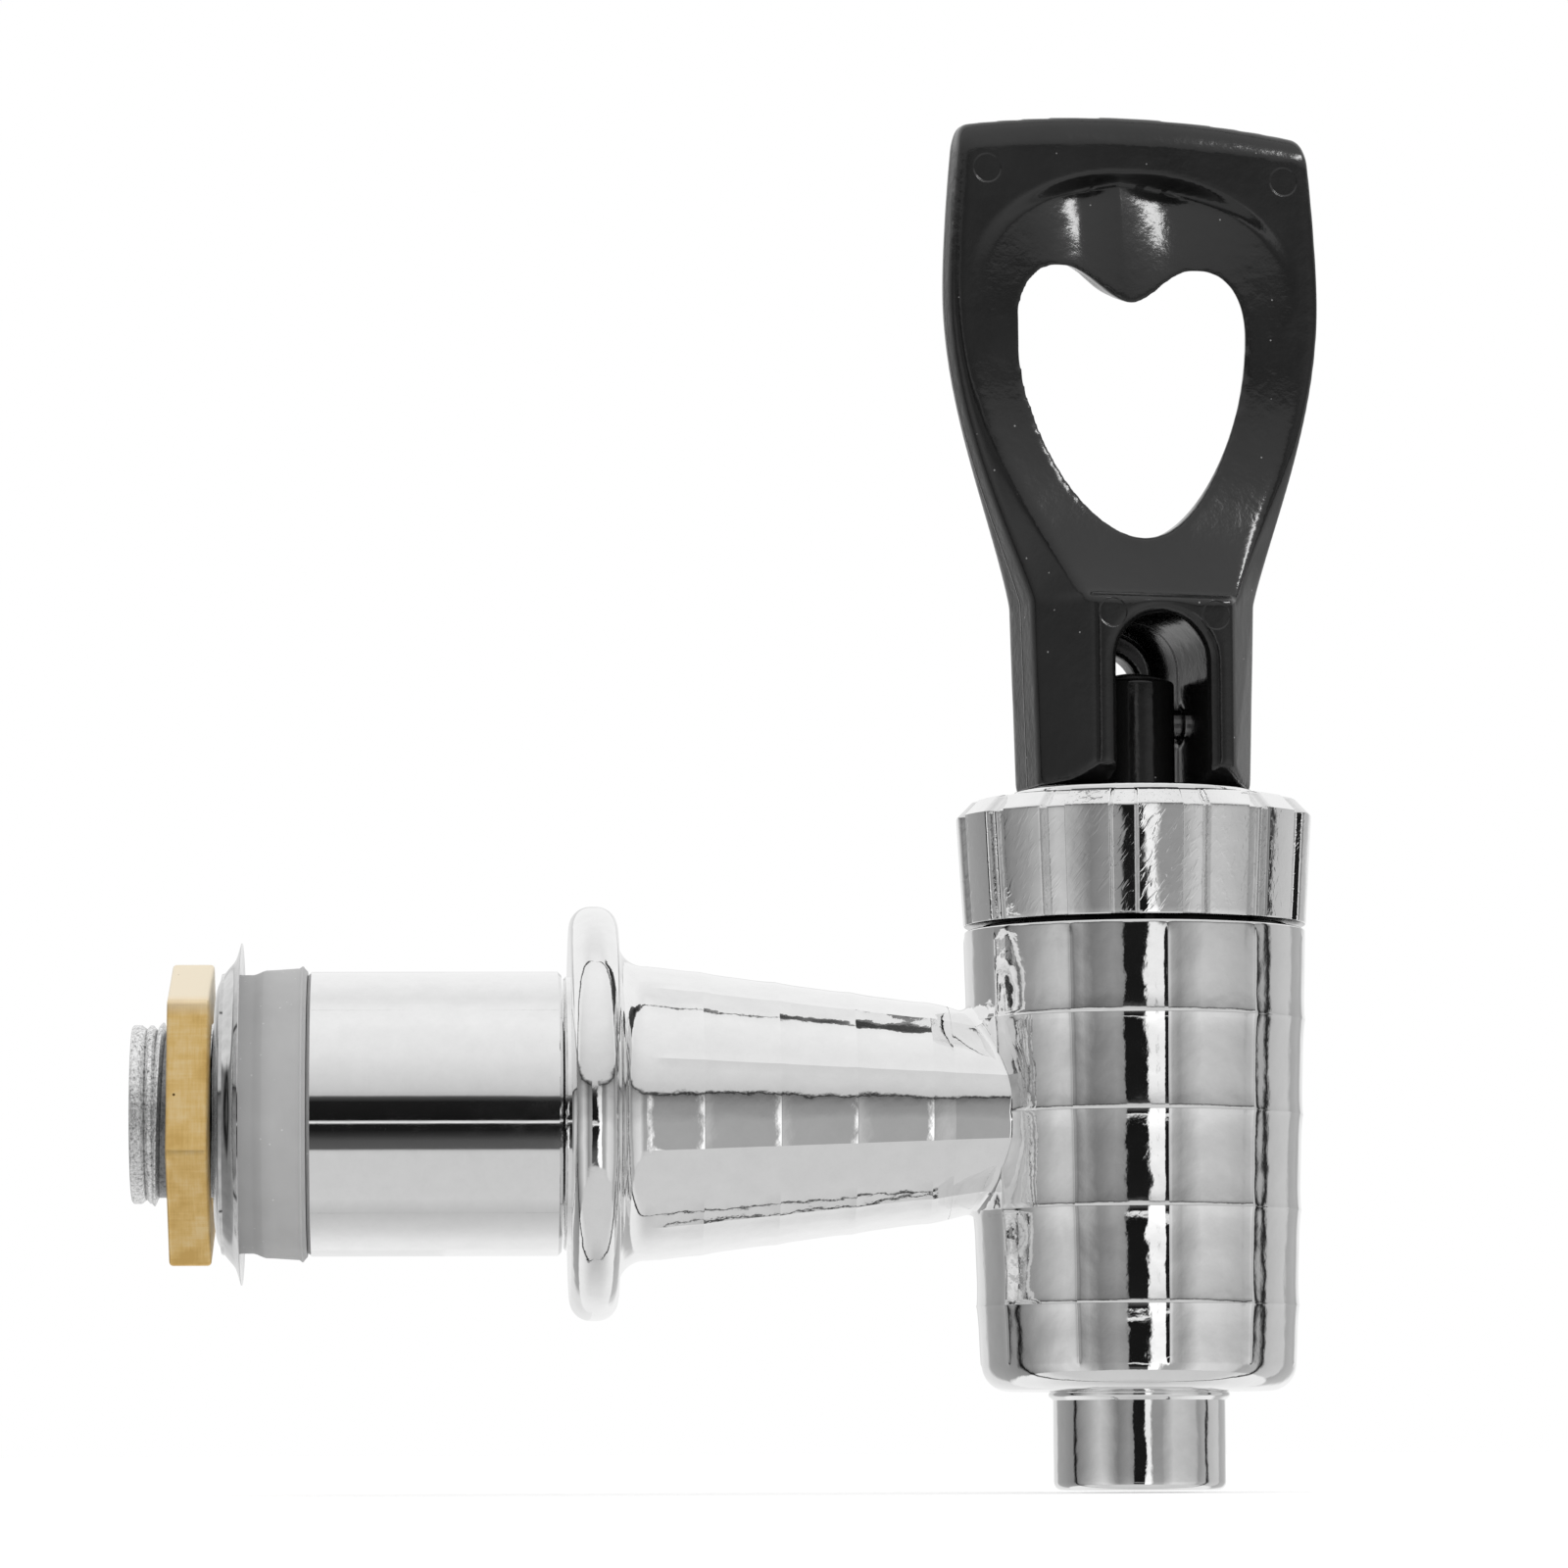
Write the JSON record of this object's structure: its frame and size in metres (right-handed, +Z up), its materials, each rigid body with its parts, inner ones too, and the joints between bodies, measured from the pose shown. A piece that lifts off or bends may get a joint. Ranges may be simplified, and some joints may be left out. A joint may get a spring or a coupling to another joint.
{
  "type": "beverage dispenser spigot",
  "caption": "Lever spigot for a drink dispenser: chromed body on a threaded shank with gasket and nut, sprung plunger valve, swivelling flip handle with a heart-shaped finger hole.",
  "frame": {"origin": "on the threaded shank's axis, at the back face of the flange", "axes": "+X along the shank towards the outlet, +Z up along the outlet and the handle, +Y away from the side that the handle faces"},
  "size_m": [0.1061, 0.0366, 0.1225],
  "materials": {
    "chrome_plate": "polished chrome plate over a cast body",
    "zinc": "rough bare thread",
    "stainless": "bright polished pressing",
    "spring_steel": "drawn spring wire",
    "brass": "machined, with fine tool lines",
    "silicone": "moulded satin grey silicone",
    "black_plastic": "glossy black moulding"
  },
  "bodies": {
    "root": {"faucet_body": "chrome_plate", "threaded_shank": "zinc", "spacer_sleeve": "chrome_plate", "tank_gasket": "silicone", "bonnet": "chrome_plate", "seat_cup": "silicone"},
    "washer": {"cup_washer": "stainless"},
    "nut": {"lock_nut": "brass"},
    "swivel": {"spring_washer": "stainless", "stem_spring": "spring_steel"},
    "plunger": {"stem": "black_plastic", "handle_pin": "stainless"},
    "lever": {"handle": "black_plastic"}
  },
  "joints": [
    {"name": "nut_travel", "type": "slide", "parent": "root", "child": "washer", "axis": [-1, 0, 0], "range_m": [0, 0.0034]},
    {"name": "nut_spin", "type": "hinge", "parent": "washer", "child": "nut", "pos_m": [-0.03325, 0, 0], "axis": [-1, 0, 0], "range_deg": [0, 810]},
    {"name": "handle_swivel", "type": "hinge", "parent": "root", "child": "swivel", "pos_m": [0.0503, 0, 0.0284], "axis": [0, 0, 1], "continuous": true},
    {"name": "stem_lift", "type": "slide", "parent": "swivel", "child": "plunger", "axis": [0, 0, 1], "range_m": [0, 0.00276], "deforming": ["stem_spring", "seat_cup"]},
    {"name": "handle_tilt", "type": "hinge", "parent": "plunger", "child": "lever", "pos_m": [0.0503, 0, 0.0346], "axis": [0.9724, 0.2334, 0], "range_deg": [0, 35], "stiffness_Nm_per_rad": 0.0101, "springref_deg": -152.98}
  ],
  "couplings": [
    {"joint": "nut_travel", "follows": "nut_spin", "m_per_rad": 0.00023873},
    {"joint": "stem_lift", "follows": "handle_tilt", "m_per_rad": 0.0045}
  ]
}
